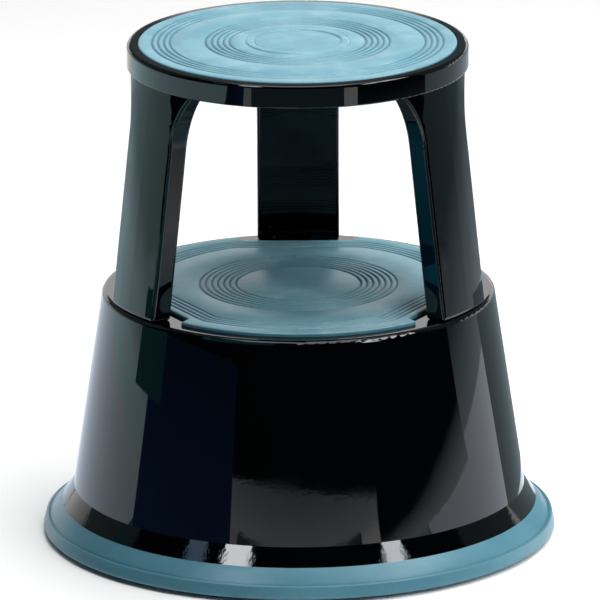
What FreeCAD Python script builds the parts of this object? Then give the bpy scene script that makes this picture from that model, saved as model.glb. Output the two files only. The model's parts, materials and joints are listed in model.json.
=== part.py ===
"""Kick step stool: two round steps of pressed steel on a rolling base with three sprung castors.

The origin is on the floor, on the axis of the stool, with +Z up. The rear leg stands towards +Y.
At rest the castors carry the stool and the bumper ring hangs just clear of the floor.
"""
import FreeCAD, Part
import math
import os
import Sketcher

X_AXIS = FreeCAD.Vector(1, 0, 0)
Z_AXIS = FreeCAD.Vector(0, 0, 1)
ORIGIN = FreeCAD.Vector(0, 0, 0)
CLOSE = 0.01

# Azimuth of each leg, and of the castor that stands between two legs.
LEG_AZIMUTHS = {"rear": 90.0, "left": 210.0, "right": 330.0}
CASTOR_AZIMUTHS = {"front": 270.0, "left": 150.0, "right": 30.0}

DIMENSIONS = {
    # Pressed steel sheet of the steps and the legs.
    "sheet": 1.0,
    # Upper step.
    "top_radius": 144.8,
    "top_level": 429.2,
    "top_skirt_end": 409.5,
    "top_shoulder": 3.0,
    "top_hem": 1.2,
    "recess_radius": 136.3,
    "recess_depth": 1.5,
    "top_mat_radius": 135.2,
    "top_mat_thickness": 3.2,
    "mat_edge": 1.2,
    # Legs.
    "leg_half_width": 35.4,
    "leg_foot_radius": 166.3,
    "leg_head_radius": 141.2,
    "leg_depth": 18.2,
    "leg_corner": 3.4,
    "arch_start": 363.0,
    "arch_end": 413.0,
    "arch_radius": 70.0,
    # Rivets of the legs.
    "rivet_radius": 2.5,
    "rivet_head_radius": 4.5,
    "rivet_head_height": 2.0,
    "rivet_sink": 0.9,
    "foot_rivet_reach": 153.0,
    "foot_rivet_spread": 24.0,
    "head_rivet_reach": 127.0,
    "head_rivet_spread": 32.0,
    # Base drum, the lower step.
    "drum_top": 214.0,
    "drum_radius": 167.0,
    "drum_shoulder": 4.2,
    "break_radius": 192.9,
    "break_level": 42.0,
    "flare_radius": 206.5,
    "flare_level": 22.0,
    "drum_end": 9.0,
    # Mat of the lower step.
    "step_mat_radius": 153.5,
    "step_mat_thickness": 3.2,
    "notch_reach": 134.0,
    "notch_half_angle": 19.5,
    "notch_corner": 3.0,
    # Bumper ring round the foot of the drum.
    "ring_start_level": 27.0,
    "ring_ridge_radius": 215.2,
    "ring_ridge_level": 13.5,
    "ring_rim_radius": 216.5,
    "ring_rim_level": 12.6,
    "ring_rim_bend": 5.0,
    "ring_floor_gap": 3.8,
    "ring_inner_radius": 202.6,
    "ring_inner_level": 15.0,
    # Castors.
    "castor_reach": 140.0,
    "castor_trail": 14.0,
    "wheel_radius": 20.0,
    "hub_radius": 16.0,
    "hub_bore": 2.55,
    "boss_radius": 6.0,
    "boss_half_width": 9.2,
    "rim_half_width": 7.0,
    "rim_depth": 2.2,
    "web_half_width": 3.0,
    "tyre_edge": 1.4,
    "axle_radius": 2.5,
    "axle_head_radius": 4.2,
    "axle_head_height": 1.8,
    "fork_half_width": 12.0,
    "fork_gap": 9.8,
    "fork_level": 48.0,
    "fork_plate": 2.0,
    "fork_cheek": 8.0,
    "fork_nose": 11.0,
    "fork_hole": 4.08,
    "spigot_radius": 4.0,
    "spigot_head_radius": 6.5,
    "spigot_head_height": 2.0,
    "swivel_play": 0.1,
    "collar_radius": 10.0,
    "collar_height": 2.9,
    "stem_radius": 6.0,
    "stem_end": 92.0,
    "stem_edge": 1.0,
    "groove_radius": 5.0,
    "clip_radius": 8.5,
    "clip_height": 1.2,
    "clip_mouth": 4.2,
    "washer_radius": 10.5,
    "washer_height": 1.2,
    "bush_bore": 6.06,
    "bush_radius": 9.0,
    "bush_flange_radius": 12.0,
    "bush_flange_height": 2.0,
    "bush_top": 86.0,
    "spring_radius": 9.0,
    "spring_wire": 0.9,
    "spring_turns": 5.0,
    # Castor brackets, welded inside the drum.
    "bracket_level": 72.0,
    "bracket_plate": 2.5,
    "bracket_half_width": 22.0,
    "bracket_nose": 116.0,
    "bracket_height": 34.0,
    "bracket_shoulder": 172.0,
    "bracket_far": 200.0,
}

# Expressions that more than one piece shares.
RECESS_LEVEL = "(dims.top_level - dims.recess_depth)"
LEG_TOP = f"({RECESS_LEVEL} - dims.sheet)"
WALL_SLOPE = "((dims.break_radius - dims.drum_radius) / (dims.drum_top - dims.break_level))"
LEG_SLOPE = f"((dims.leg_foot_radius - dims.leg_head_radius) / ({LEG_TOP} - dims.drum_top))"
LEG_EDGE = "sqrt(dims.leg_foot_radius ^ 2 - dims.leg_half_width ^ 2)"
ARCH_RISE = "(dims.arch_end - dims.arch_start)"
ARCH_FLARE = f"(dims.arch_radius - sqrt(dims.arch_radius ^ 2 - {ARCH_RISE} ^ 2))"
SHELF_TOP = "(dims.bracket_level + dims.bracket_plate)"
COLLAR_START = "(dims.fork_level + dims.swivel_play)"
COLLAR_END = f"({COLLAR_START} + dims.collar_height)"
SEAT_TOP = f"({COLLAR_END} + dims.washer_height)"
FLANGE_START = "(dims.bracket_level - dims.bush_flange_height)"
STOP_START = "(dims.bush_top + dims.swivel_play)"
CLIP_START = f"({STOP_START} + dims.washer_height)"
CLIP_END = f"({CLIP_START} + dims.clip_height)"
FORK_UNDERSIDE = "(dims.fork_level - dims.fork_plate)"


def drum_inner_radius(level):
    """Radius of the drum's inner wall at a level above the break, as an expression."""
    return (f"(dims.drum_radius + (dims.drum_top - {level}) * {WALL_SLOPE}"
            f" - dims.sheet * sqrt(1 + {WALL_SLOPE} ^ 2))")


def make_sheet(doc):
    """Write the driving dimensions into the spreadsheet, one row each."""
    sheet = doc.addObject("Spreadsheet::Sheet", "dims")
    for row, (alias, size) in enumerate(DIMENSIONS.items(), start=1):
        sheet.set(f"A{row}", alias)
        sheet.set(f"B{row}", str(size))
        sheet.setAlias(f"B{row}", alias)
    doc.recompute()
    return sheet


def make_body(doc, label):
    body = doc.addObject("PartDesign::Body", label)
    body.Label = label
    return body


def make_sketch(body, role, level=None):
    """Sketch on an origin plane of its own body, lifted to a level along the plane's normal."""
    sketch = body.newObject("Sketcher::SketchObject", "Sketch")
    plane = next(item for item in body.Origin.OriginFeatures if item.Role == role)
    sketch.AttachmentSupport = [(plane, "")]
    sketch.MapMode = "FlatFace"
    if level is not None:
        sketch.setExpression("AttachmentOffset.Base.z", level)
    return sketch


def bind_point(sketch, geometry, corner, place):
    """Hold one corner of a line or an arc at a pair of expressions."""
    for kind, axis, expression in (("DistanceX", -2, place[0]), ("DistanceY", -1, place[1])):
        if expression == "0":
            sketch.addConstraint(Sketcher.Constraint("PointOnObject", geometry, corner, axis))
            continue
        size = float(sketch.evalExpression(expression))
        index = sketch.addConstraint(Sketcher.Constraint(kind, -1, 1, geometry, corner, size))
        sketch.setExpression(f"Constraints[{index}]", expression)


def bind_radius(sketch, geometry, expression):
    size = float(sketch.evalExpression(expression))
    index = sketch.addConstraint(Sketcher.Constraint("Radius", geometry, size))
    sketch.setExpression(f"Constraints[{index}]", expression)


def arc_between(start, end, radius, turn):
    """The short arc from start to end that turns left (turn = 1) or right (turn = -1)."""
    chord = end - start
    rise = math.sqrt(max(radius ** 2 - (chord.Length / 2) ** 2, 0))
    left = FreeCAD.Vector(-chord.y, chord.x, 0).normalize()
    centre = (start + end) / 2 + left * rise * turn
    first, last = (start, end) if turn > 0 else (end, start)
    angles = [math.atan2(point.y - centre.y, point.x - centre.x) for point in (first, last)]
    return Part.ArcOfCircle(Part.Circle(centre, Z_AXIS, radius), angles[0], angles[1])


def add_outline(sketch, points):
    """Draw a closed outline through points given as expressions.

    A point is (x, y) or (x, y, radius, turn): then an arc of that radius leaves it,
    turning left (1) or right (-1).
    """
    places = []
    for point in points:
        numbers = [float(sketch.evalExpression(item)) for item in point[:2]]
        places.append(FreeCAD.Vector(numbers[0], numbers[1], 0))
    corners = []
    for index, point in enumerate(points):
        start = places[index]
        end = places[(index + 1) % len(points)]
        if len(point) == 2:
            geometry = sketch.addGeometry(Part.LineSegment(start, end))
            corners.append((geometry, 1, 2))
            continue
        radius = float(sketch.evalExpression(point[2]))
        geometry = sketch.addGeometry(arc_between(start, end, radius, point[3]))
        corners.append((geometry, 1, 2) if point[3] > 0 else (geometry, 2, 1))
    for index, (geometry, begin, finish) in enumerate(corners):
        following = corners[(index + 1) % len(corners)]
        sketch.addConstraint(Sketcher.Constraint("Coincident", geometry, finish, following[0], following[1]))
        bind_point(sketch, geometry, begin, points[index])
        if len(points[index]) > 2:
            bind_radius(sketch, geometry, points[index][2])


def add_circle(sketch, x_place, y_place, radius):
    geometry = sketch.addGeometry(Part.Circle(ORIGIN, Z_AXIS, float(sketch.evalExpression(radius))))
    bind_point(sketch, geometry, 3, (x_place, y_place))
    bind_radius(sketch, geometry, radius)


def add_feature(body, kind, sketch, bound=None, **settings):
    """Add a sketch-based feature with plain settings and with sizes bound to expressions."""
    feature = body.newObject(f"PartDesign::{kind}", kind)
    feature.Profile = sketch
    for name, setting in settings.items():
        setattr(feature, name, setting)
    for name, expression in (bound or {}).items():
        feature.setExpression(name, expression)
    sketch.Visibility = False
    body.Document.recompute()
    return feature


def revolve(body, points, kind="Revolution", role="XZ_Plane"):
    """Turn a closed outline of (radius, level) points round the body's axis."""
    sketch = make_sketch(body, role)
    add_outline(sketch, points)
    return add_feature(body, kind, sketch, ReferenceAxis=(sketch, ["V_Axis"]), Angle=360.0)


def edges_where(feature, test):
    """Names of the edges of a feature's shape that pass a test."""
    edges = feature.Shape.Edges
    return [f"Edge{index}" for index, edge in enumerate(edges, start=1) if test(edge)]


def dress(body, kind, feature, names, size_name, expression):
    """Round or bevel named edges of the last feature."""
    dressed = body.newObject(f"PartDesign::{kind}", kind)
    dressed.Base = (feature, names)
    dressed.setExpression(size_name, expression)
    body.Document.recompute()
    return dressed


def shell(body, feature, test):
    """Hollow the last feature to the sheet thickness, open at the faces that pass a test."""
    faces = feature.Shape.Faces
    names = [f"Face{index}" for index, face in enumerate(faces, start=1) if test(face)]
    hollow = body.newObject("PartDesign::Thickness", "Thickness")
    hollow.Base = (feature, names)
    hollow.setExpression("Value", "dims.sheet")
    hollow.Mode = "Skin"
    hollow.Join = "Intersection"
    hollow.Reversed = True
    body.Document.recompute()
    return hollow


def lies_at(shape, level):
    """True where a face or an edge lies flat at a level."""
    return abs(shape.BoundBox.ZMin - level) < CLOSE and abs(shape.BoundBox.ZMax - level) < CLOSE


def turn_to(piece, azimuth):
    """Turn a piece that was drawn towards +X round the axis of the stool."""
    piece.Placement = FreeCAD.Placement(ORIGIN, FreeCAD.Rotation(Z_AXIS, azimuth))


def stand_at(piece, azimuth):
    """Place a piece that was drawn round its castor's own axis."""
    turn_to(piece, azimuth)
    piece.setExpression(".Placement.Base.x", f"dims.castor_reach * cos({azimuth} deg)")
    piece.setExpression(".Placement.Base.y", f"dims.castor_reach * sin({azimuth} deg)")


def stand_at_wheel(piece, azimuth):
    """Place a piece that was drawn round the wheel's axle, along Y."""
    turn_to(piece, azimuth)
    reach = "(dims.castor_reach - dims.castor_trail)"
    piece.setExpression(".Placement.Base.x", f"{reach} * cos({azimuth} deg)")
    piece.setExpression(".Placement.Base.y", f"{reach} * sin({azimuth} deg)")
    piece.setExpression(".Placement.Base.z", "dims.wheel_radius")


def add_leg_holes(body, reach, spread, azimuths):
    """Sketch the pairs of rivet holes of the legs that stand at the azimuths."""
    sketch = make_sketch(body, "XY_Plane", "0")
    for azimuth in azimuths:
        for side in ("+", "-"):
            offset = f"({side}{spread})"
            x_place = f"({reach} * cos({azimuth} deg) - {offset} * sin({azimuth} deg))"
            y_place = f"({reach} * sin({azimuth} deg) + {offset} * cos({azimuth} deg))"
            add_circle(sketch, x_place, y_place, "dims.rivet_radius")
    return sketch


def make_top_platform(doc, dims):
    """Upper step: a pan with a recess for its mat, a rounded shoulder and a hem turned in."""
    body = make_body(doc, "top_platform")
    underside = f"({RECESS_LEVEL} - dims.sheet)"
    shoulder_reach = "(dims.top_radius - dims.top_shoulder)"
    shoulder_level = "(dims.top_level - dims.top_shoulder)"
    hem_reach = "(dims.top_radius - dims.top_hem)"
    hem_level = "(dims.top_skirt_end + dims.top_hem)"
    revolve(body, [
        ("0", underside),
        ("dims.recess_radius + dims.sheet", underside),
        ("dims.recess_radius + dims.sheet", "dims.top_level - dims.sheet"),
        (shoulder_reach, "dims.top_level - dims.sheet", "dims.top_shoulder - dims.sheet", -1),
        ("dims.top_radius - dims.sheet", shoulder_level),
        ("dims.top_radius - dims.sheet", hem_level, "dims.top_hem - dims.sheet", -1),
        (hem_reach, "dims.top_skirt_end + dims.sheet"),
        (hem_reach, "dims.top_skirt_end", "dims.top_hem", 1),
        ("dims.top_radius", hem_level),
        ("dims.top_radius", shoulder_level, "dims.top_shoulder", 1),
        (shoulder_reach, "dims.top_level"),
        ("dims.recess_radius", "dims.top_level"),
        ("dims.recess_radius", RECESS_LEVEL),
        ("0", RECESS_LEVEL),
    ])
    sketch = add_leg_holes(body, "dims.head_rivet_reach", "dims.head_rivet_spread", LEG_AZIMUTHS.values())
    holes = add_feature(body, "Pocket", sketch, Type="ThroughAll", Reversed=True)
    level = dims.top_level - dims.recess_depth
    mouths = edges_where(holes, lambda edge: lies_at(edge, level)
                         and edge.BoundBox.XLength < dims.rivet_radius * 3)
    dress(body, "Chamfer", holes, mouths, "Size", "dims.rivet_sink")
    return [body]


def make_top_mat(doc, dims):
    """Rubber mat of the upper step, a disc with a bevelled edge."""
    body = make_body(doc, "top_mat")
    top = f"({RECESS_LEVEL} + dims.top_mat_thickness)"
    revolve(body, [
        ("0", RECESS_LEVEL),
        ("dims.top_mat_radius", RECESS_LEVEL),
        ("dims.top_mat_radius", f"{top} - dims.mat_edge"),
        ("dims.top_mat_radius - dims.mat_edge", top),
        ("0", top),
    ])
    return [body]


def make_leg_block(doc, dims, label, inset, reach_cut):
    """Solid block of a leg towards +X, all its bends rounded; the inset leaves the sheet's thickness."""
    body = make_body(doc, label)
    bottom = f"(dims.drum_top + {inset})"
    top = f"({LEG_TOP} - {inset})"
    half_width = f"(dims.leg_half_width - {inset})"
    bend = f"(dims.arch_radius + {inset})"
    head_half_width = f"({half_width} + {ARCH_FLARE})"
    arch_end = f"(dims.arch_start + sqrt({bend} ^ 2 - ({bend} - {ARCH_FLARE}) ^ 2))"
    silhouette = make_sketch(body, "YZ_Plane")
    add_outline(silhouette, [
        (f"-{half_width}", bottom),
        (half_width, bottom),
        (half_width, "dims.arch_start", bend, -1),
        (head_half_width, arch_end),
        (head_half_width, top),
        (f"-{head_half_width}", top),
        (f"-{head_half_width}", arch_end, bend, -1),
        (f"-{half_width}", "dims.arch_start"),
    ])
    add_feature(body, "Pad", silhouette, {"Length": "dims.leg_foot_radius"})

    def web_radius(level):
        skin = f"{inset} * sqrt(1 + {LEG_SLOPE} ^ 2)"
        return f"(dims.leg_foot_radius - {LEG_SLOPE} * ({level} - dims.drum_top) - {skin})"

    def open_reach(level):
        return f"({LEG_EDGE} - dims.leg_depth - {LEG_SLOPE} * ({level} - dims.drum_top) - {reach_cut})"

    far = "dims.leg_foot_radius * 2"
    revolve(body, [(web_radius(bottom), bottom), (far, bottom), (far, top), (web_radius(top), top)],
            kind="Groove")
    inner = make_sketch(body, "XZ_Plane")
    add_outline(inner, [("0", bottom), (open_reach(bottom), bottom), (open_reach(top), top), ("0", top)])
    block = add_feature(body, "Pocket", inner, Type="ThroughAll", SideType="Symmetric")
    open_face = min(block.Shape.Faces, key=lambda face: face.CenterOfMass.x)
    kept = [edge.hashCode() for edge in open_face.Edges]
    bends = edges_where(block, lambda edge: edge.hashCode() not in kept
                        and not lies_at(edge, dims.arch_start))
    dress(body, "Fillet", block, bends, "Radius", f"(dims.leg_corner - {inset})")
    return body


def make_leg_hole(doc, label, reach, offset, level):
    """Cylinder that cuts one rivet hole through the sheet round a level."""
    hole = doc.addObject("Part::Cylinder", label)
    hole.setExpression("Radius", "dims.rivet_radius")
    hole.setExpression("Height", "dims.sheet * 4")
    hole.setExpression(".Placement.Base.x", reach)
    hole.setExpression(".Placement.Base.y", offset)
    hole.setExpression(".Placement.Base.z", f"{level} - dims.sheet * 2")
    return hole


def make_leg(doc, dims, name, azimuth):
    """Leg: a pressed tray, open towards the stool's axis, that widens in an arch at its head."""
    outer = make_leg_block(doc, dims, f"leg_outer_{name}", "0", "0")
    inner = make_leg_block(doc, dims, f"leg_inner_{name}", "dims.sheet", "dims.leg_corner")
    pairs = (("foot", "dims.foot_rivet_reach", "dims.foot_rivet_spread", "dims.drum_top"),
             ("head", "dims.head_rivet_reach", "dims.head_rivet_spread", LEG_TOP))
    tools = [inner]
    for end, reach, spread, level in pairs:
        for side in ("", "-"):
            tools.append(make_leg_hole(doc, f"{end}_hole_{name}", reach, f"{side}{spread}", level))
    tool = doc.addObject("Part::MultiFuse", f"leg_tool_{name}")
    tool.Shapes = tools
    leg = doc.addObject("Part::Cut", f"leg_{name}")
    leg.Label = f"leg_{name}"
    leg.Base = outer
    leg.Tool = tool
    doc.recompute()
    turn_to(leg, azimuth)
    return leg


def make_base_drum(doc, dims):
    """Base drum: a deep pressed cone, open below, flared at its foot."""
    body = make_body(doc, "base_drum")
    solid = revolve(body, [
        ("0", "dims.drum_end"),
        ("dims.flare_radius", "dims.drum_end"),
        ("dims.flare_radius", "dims.flare_level"),
        ("dims.break_radius", "dims.break_level"),
        ("dims.drum_radius", "dims.drum_top"),
        ("0", "dims.drum_top"),
    ])
    rim = edges_where(solid, lambda edge: lies_at(edge, dims.drum_top))
    rounded = dress(body, "Fillet", solid, rim, "Radius", "dims.drum_shoulder")
    shell(body, rounded, lambda face: lies_at(face, dims.drum_end))
    sketch = add_leg_holes(body, "dims.foot_rivet_reach", "dims.foot_rivet_spread", LEG_AZIMUTHS.values())
    add_feature(body, "Pocket", sketch, Type="ThroughAll", Reversed=True)
    return [body]


def make_bumper_ring(doc, dims):
    """Rubber bumper ring, with a slot that grips the drum's foot."""
    body = make_body(doc, "bumper_ring")
    drum_inner = "(dims.flare_radius - dims.sheet)"
    share = "(dims.break_level - dims.ring_start_level) / (dims.break_level - dims.flare_level)"
    ring_start_radius = f"(dims.break_radius + (dims.flare_radius - dims.break_radius) * {share})"
    revolve(body, [
        (ring_start_radius, "dims.ring_start_level"),
        ("dims.ring_ridge_radius", "dims.ring_ridge_level"),
        ("dims.ring_rim_radius", "dims.ring_rim_level", "dims.ring_rim_bend", -1),
        ("dims.ring_rim_radius", "dims.ring_floor_gap"),
        ("dims.ring_inner_radius", "dims.ring_floor_gap"),
        ("dims.ring_inner_radius", "dims.ring_inner_level"),
        (drum_inner, "dims.ring_inner_level"),
        (drum_inner, "dims.drum_end"),
        ("dims.flare_radius", "dims.drum_end"),
        ("dims.flare_radius", "dims.flare_level"),
    ])
    return [body]


def make_step_mat(doc, dims):
    """Rubber mat of the lower step, notched round the three legs."""
    body = make_body(doc, "step_mat")
    disc = make_sketch(body, "XY_Plane", "dims.drum_top")
    add_circle(disc, "0", "0", "dims.step_mat_radius")
    add_feature(body, "Pad", disc, {"Length": "dims.step_mat_thickness"})
    notch = make_sketch(body, "XY_Plane", "dims.drum_top")
    near = "dims.notch_reach * tan(dims.notch_half_angle * 1 deg)"
    far = "dims.step_mat_radius * 1.2"
    far_side = f"{far} * tan(dims.notch_half_angle * 1 deg)"
    add_outline(notch, [
        (f"-{near}", "dims.notch_reach"),
        (near, "dims.notch_reach"),
        (far_side, far),
        (f"-{far_side}", far),
    ])
    cut = add_feature(body, "Pocket", notch, Type="ThroughAll", Reversed=True)
    pattern = body.newObject("PartDesign::PolarPattern", "Notches")
    pattern.Originals = [cut]
    pattern.Axis = (notch, ["N_Axis"])
    pattern.Angle = 360.0
    pattern.Occurrences = len(LEG_AZIMUTHS)
    body.Tip = pattern
    doc.recompute()
    upright = edges_where(pattern, lambda edge: edge.BoundBox.ZLength > dims.step_mat_thickness - CLOSE
                          and edge.BoundBox.XLength < CLOSE and edge.BoundBox.YLength < CLOSE)
    rounded = dress(body, "Fillet", pattern, upright, "Radius", "dims.notch_corner")
    top = edges_where(rounded, lambda edge: lies_at(edge, dims.drum_top + dims.step_mat_thickness))
    dress(body, "Chamfer", rounded, top, "Size", "dims.mat_edge")
    return [body]


def make_rivet_group(doc, label, reach, spread, points):
    """One node of like rivets, a turned solid at each hole of the legs."""
    rivets = []
    for name, azimuth in LEG_AZIMUTHS.items():
        for side in (1, -1):
            body = make_body(doc, f"{label}_{name}_{'a' if side > 0 else 'b'}")
            revolve(body, points)
            turn_to(body, azimuth)
            offset = f"({side} * {spread})"
            body.setExpression(".Placement.Base.x",
                               f"{reach} * cos({azimuth} deg) - {offset} * sin({azimuth} deg)")
            body.setExpression(".Placement.Base.y",
                               f"{reach} * sin({azimuth} deg) + {offset} * cos({azimuth} deg)")
            rivets.append(body)
    group = doc.addObject("Part::Compound", label)
    group.Label = label
    group.Links = rivets
    return group


def make_rivets(doc, dims):
    """Rivets that hold the legs' feet to the drum and their heads to the upper step."""
    foot_head = "(dims.drum_top + dims.sheet)"
    foot_tail = "(dims.drum_top - dims.sheet)"
    dome = "(dims.rivet_head_radius ^ 2 + dims.rivet_head_height ^ 2) / (2 * dims.rivet_head_height)"
    feet = make_rivet_group(doc, "foot_rivets", "dims.foot_rivet_reach", "dims.foot_rivet_spread", [
        ("0", f"{foot_tail} - dims.rivet_head_height"),
        ("dims.rivet_head_radius", f"{foot_tail} - dims.rivet_head_height"),
        ("dims.rivet_head_radius", foot_tail),
        ("dims.rivet_radius", foot_tail),
        ("dims.rivet_radius", foot_head),
        ("dims.rivet_head_radius", foot_head, dome, 1),
        ("0", f"{foot_head} + dims.rivet_head_height"),
    ])
    head_tail = f"({LEG_TOP} - dims.sheet)"
    heads = make_rivet_group(doc, "head_rivets", "dims.head_rivet_reach", "dims.head_rivet_spread", [
        ("0", f"{head_tail} - dims.rivet_head_height"),
        ("dims.rivet_head_radius", f"{head_tail} - dims.rivet_head_height"),
        ("dims.rivet_head_radius", head_tail),
        ("dims.rivet_radius", head_tail),
        ("dims.rivet_radius", f"{RECESS_LEVEL} - dims.rivet_sink"),
        ("dims.rivet_radius + dims.rivet_sink", RECESS_LEVEL),
        ("0", RECESS_LEVEL),
    ])
    return [feet, heads]


def make_bracket(doc, dims, name, azimuth):
    """Castor bracket: a stiffened shelf whose back follows the drum's wall."""
    body = make_body(doc, f"castor_bracket_{name}")
    top = "(dims.bracket_level + dims.bracket_height)"
    side = make_sketch(body, "XZ_Plane")
    add_outline(side, [
        ("dims.bracket_nose", "dims.bracket_level"),
        ("dims.bracket_far", "dims.bracket_level"),
        ("dims.bracket_far", top),
        ("dims.bracket_shoulder", top),
        ("dims.bracket_nose", SHELF_TOP),
    ])
    add_feature(body, "Pad", side, {"Length": "dims.bracket_half_width * 2"}, SideType="Symmetric")
    channel = make_sketch(body, "YZ_Plane")
    inner = "(dims.bracket_half_width - dims.bracket_plate)"
    add_outline(channel, [
        (f"-{inner}", SHELF_TOP),
        (inner, SHELF_TOP),
        (inner, f"{top} + dims.bracket_plate"),
        (f"-{inner}", f"{top} + dims.bracket_plate"),
    ])
    add_feature(body, "Pocket", channel, Type="ThroughAll", SideType="Symmetric")
    low = drum_inner_radius("dims.bracket_level")
    high = drum_inner_radius(top)
    revolve(body, [
        (low, "dims.bracket_level"),
        ("dims.bracket_far * 2", "dims.bracket_level"),
        ("dims.bracket_far * 2", top),
        (high, top),
    ], kind="Groove")
    back = make_sketch(body, "XZ_Plane")
    add_outline(back, [
        (f"{low} - dims.bracket_plate", "dims.bracket_level"),
        (low, "dims.bracket_level"),
        (high, top),
        (f"{high} - dims.bracket_plate", top),
    ])
    add_feature(body, "Revolution", back, {"Angle": f"2 * asin(dims.bracket_half_width / {low})"},
                ReferenceAxis=(back, ["V_Axis"]), Midplane=True)
    hole = make_sketch(body, "XY_Plane", "dims.bracket_level")
    add_circle(hole, "dims.castor_reach", "0", "dims.bush_radius")
    add_feature(body, "Pocket", hole, {"Length": "dims.bracket_plate"}, Reversed=True)
    turn_to(body, azimuth)
    return body


def make_guide_bush(doc, name, azimuth):
    """Flanged plastic bush that guides the stem through the shelf."""
    body = make_body(doc, f"guide_bush_{name}")
    revolve(body, [
        ("dims.bush_bore", FLANGE_START),
        ("dims.bush_flange_radius", FLANGE_START),
        ("dims.bush_flange_radius", "dims.bracket_level"),
        ("dims.bush_radius", "dims.bracket_level"),
        ("dims.bush_radius", "dims.bush_top"),
        ("dims.bush_bore", "dims.bush_top"),
    ])
    stand_at(body, azimuth)
    return body


def make_stem(doc, name, azimuth):
    """Castor stem: a riveted spigot for the fork, a collar, a shaft and a clip groove."""
    body = make_body(doc, f"castor_stem_{name}")
    head_top = f"({FORK_UNDERSIDE} - dims.swivel_play)"
    revolve(body, [
        ("0", f"{head_top} - dims.spigot_head_height"),
        ("dims.spigot_head_radius", f"{head_top} - dims.spigot_head_height"),
        ("dims.spigot_head_radius", head_top),
        ("dims.spigot_radius", head_top),
        ("dims.spigot_radius", COLLAR_START),
        ("dims.collar_radius", COLLAR_START),
        ("dims.collar_radius", COLLAR_END),
        ("dims.stem_radius", COLLAR_END),
        ("dims.stem_radius", CLIP_START),
        ("dims.groove_radius", CLIP_START),
        ("dims.groove_radius", CLIP_END),
        ("dims.stem_radius", CLIP_END),
        ("dims.stem_radius", "dims.stem_end - dims.stem_edge"),
        ("dims.stem_radius - dims.stem_edge", "dims.stem_end"),
        ("0", "dims.stem_end"),
    ])
    stand_at(body, azimuth)
    return body


def make_washer(doc, label, start, azimuth):
    """Plain washer round the stem."""
    body = make_body(doc, label)
    revolve(body, [
        ("dims.stem_radius", start),
        ("dims.washer_radius", start),
        ("dims.washer_radius", f"{start} + dims.washer_height"),
        ("dims.stem_radius", f"{start} + dims.washer_height"),
    ])
    stand_at(body, azimuth)
    return body


def make_clip(doc, name, azimuth):
    """Retaining clip, pushed into the stem's groove from one side."""
    body = make_body(doc, f"retaining_clip_{name}")
    revolve(body, [
        ("dims.groove_radius", CLIP_START),
        ("dims.clip_radius", CLIP_START),
        ("dims.clip_radius", CLIP_END),
        ("dims.groove_radius", CLIP_END),
    ])
    mouth = make_sketch(body, "XY_Plane", CLIP_START)
    add_outline(mouth, [
        ("0", "-dims.clip_mouth"),
        ("dims.clip_radius * 2", "-dims.clip_mouth"),
        ("dims.clip_radius * 2", "dims.clip_mouth"),
        ("0", "dims.clip_mouth"),
    ])
    add_feature(body, "Pocket", mouth, {"Length": "dims.clip_height"}, Reversed=True)
    stand_at(body, azimuth)
    return body


def make_spring(doc, name, azimuth):
    """Compression spring between the stem's seat and the bush."""
    label = f"coil_spring_{name}"
    helix = doc.addObject("Part::Helix", f"helix_{name}")
    height = f"({FLANGE_START} - {SEAT_TOP} - 2 * dims.spring_wire)"
    helix.setExpression("Height", height)
    helix.setExpression("Pitch", f"{height} / dims.spring_turns")
    helix.setExpression("Radius", "dims.spring_radius")
    section = doc.addObject("Part::Circle", f"wire_{name}")
    section.setExpression("Radius", "dims.spring_wire")
    section.Placement = FreeCAD.Placement(ORIGIN, FreeCAD.Rotation(X_AXIS, 90))
    section.setExpression(".Placement.Base.x", "dims.spring_radius")
    coil = doc.addObject("Part::Sweep", label)
    coil.Label = label
    coil.Sections = [section]
    coil.Spine = (helix, ["Edge1"])
    coil.Solid = True
    coil.Frenet = True
    stand_at(coil, azimuth)
    coil.setExpression(".Placement.Base.z", f"{SEAT_TOP} + dims.spring_wire")
    doc.recompute()
    return coil


def make_fork(doc, name, azimuth):
    """Castor fork: a folded strap that trails its axle behind the stem."""
    body = make_body(doc, f"castor_fork_{name}")
    side = make_sketch(body, "XZ_Plane")
    add_outline(side, [
        ("dims.fork_nose", "dims.fork_level"),
        ("-dims.fork_nose", "dims.fork_level"),
        ("-dims.castor_trail - dims.fork_cheek", "dims.wheel_radius", "dims.fork_cheek * 1.02", 1),
        ("-dims.castor_trail + dims.fork_cheek", "dims.wheel_radius"),
        ("dims.fork_nose", f"{FORK_UNDERSIDE} - dims.fork_plate"),
    ])
    add_feature(body, "Pad", side, {"Length": "dims.fork_half_width * 2"}, SideType="Symmetric")
    gap = make_sketch(body, "YZ_Plane")
    add_outline(gap, [
        ("-dims.fork_gap", "0"),
        ("dims.fork_gap", "0"),
        ("dims.fork_gap", FORK_UNDERSIDE),
        ("-dims.fork_gap", FORK_UNDERSIDE),
    ])
    add_feature(body, "Pocket", gap, Type="ThroughAll", SideType="Symmetric")
    stem_hole = make_sketch(body, "XY_Plane", FORK_UNDERSIDE)
    add_circle(stem_hole, "0", "0", "dims.fork_hole")
    add_feature(body, "Pocket", stem_hole, {"Length": "dims.fork_plate"}, Reversed=True)
    axle_hole = make_sketch(body, "XZ_Plane")
    add_circle(axle_hole, "-dims.castor_trail", "dims.wheel_radius", "dims.axle_radius")
    add_feature(body, "Pocket", axle_hole, Type="ThroughAll", SideType="Symmetric")
    stand_at(body, azimuth)
    return body


def mirrored(points):
    """Add the mirror image of (radius, width) points, so that the outline runs from -width to +width."""
    lower = [(radius, f"-{width}") for radius, width in points]
    return lower + [(radius, width) for radius, width in reversed(points)]


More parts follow.
